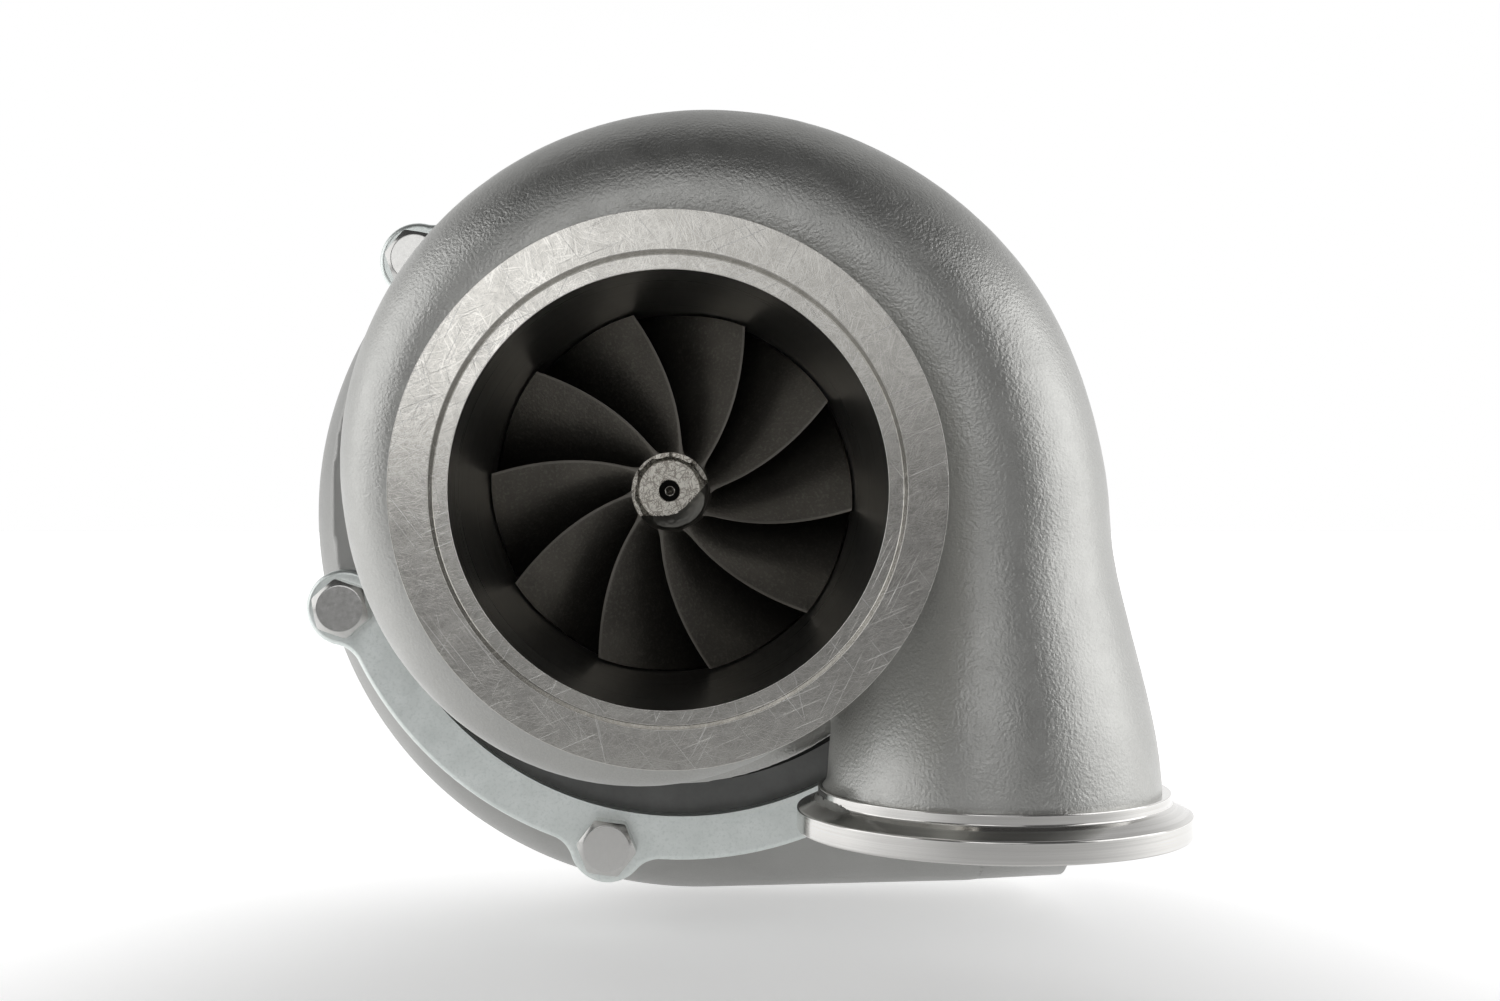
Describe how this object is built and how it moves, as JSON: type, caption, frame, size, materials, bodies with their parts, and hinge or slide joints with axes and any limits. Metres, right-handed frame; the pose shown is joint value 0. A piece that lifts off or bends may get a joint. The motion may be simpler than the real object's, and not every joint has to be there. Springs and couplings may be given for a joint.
{
  "type": "turbocharger",
  "caption": "Ball-bearing turbocharger: steel turbine scroll with V-band flanges, aluminium compressor scroll, clamp rings and a spinning bladed rotor.",
  "frame": {"origin": "centre of the turbine outlet face, on the rotor axis", "axes": "+Y along the rotor axis from turbine outlet to compressor inlet, +Z towards the oil feed, +X the way the compressor outlet points"},
  "size_m": [0.1923, 0.208, 0.1848],
  "materials": {
    "cast_stainless": "sand-blasted investment casting with machined flanges",
    "wheel_alloy": "dark nickel alloy casting, machined nose",
    "ground_steel": "ground",
    "sheet_stainless": "pressed sheet",
    "stainless_bolt": "cold-formed stainless",
    "cast_iron": "cast, machined ports",
    "ceramic_ball": "polished",
    "cage_bronze": "machined",
    "dark_backplate": "dark conversion coated",
    "seal_rubber": "moulded",
    "machined_aluminium": "five-axis milled",
    "cast_aluminium": "fine satin casting",
    "zinc_plate": "zinc plated stamping"
  },
  "bodies": {
    "housing": {"turbine_housing": "cast_stainless", "turbine_seal_ring": "ground_steel", "heat_shield": "sheet_stainless", "turbine_clamp_segments": "sheet_stainless", "turbine_housing_bolts": "stainless_bolt", "center_housing": "cast_iron", "bearing_outer_sleeve": "ground_steel", "bearing_locating_pin": "ground_steel", "bearing_retaining_ring": "ground_steel", "compressor_seal_ring": "ground_steel", "backplate": "dark_backplate", "backplate_screws": "stainless_bolt", "backplate_face_seal": "seal_rubber", "cover_o_ring": "seal_rubber", "compressor_cover": "cast_aluminium", "clamp_plate_lower": "zinc_plate", "clamp_plate_upper": "zinc_plate", "compressor_cover_bolts": "stainless_bolt"},
    "rotor": {"turbine_wheel": "wheel_alloy", "rotor_shaft": "ground_steel", "turbine_inner_race": "ground_steel", "compressor_inner_race": "ground_steel", "oil_slinger_collar": "ground_steel", "compressor_wheel": "machined_aluminium", "compressor_lock_nut": "ground_steel"},
    "turbine_ball_set": {"turbine_bearing_balls": "ceramic_ball", "turbine_bearing_cage": "cage_bronze"},
    "compressor_ball_set": {"compressor_bearing_balls": "ceramic_ball", "compressor_bearing_cage": "cage_bronze"}
  },
  "joints": [
    {"name": "rotor_spin", "type": "hinge", "parent": "housing", "child": "rotor", "pos_m": [0, 0.05, 0], "axis": [0, -1, 0], "continuous": true},
    {"name": "turbine_balls_orbit", "type": "hinge", "parent": "housing", "child": "turbine_ball_set", "pos_m": [0, 0.05, 0], "axis": [0, -1, 0], "continuous": true},
    {"name": "compressor_balls_orbit", "type": "hinge", "parent": "housing", "child": "compressor_ball_set", "pos_m": [0, 0.05, 0], "axis": [0, -1, 0], "continuous": true}
  ],
  "couplings": [
    {"joint": "turbine_balls_orbit", "follows": "rotor_spin", "ratio": 0.36389},
    {"joint": "compressor_balls_orbit", "follows": "rotor_spin", "ratio": 0.36389}
  ]
}
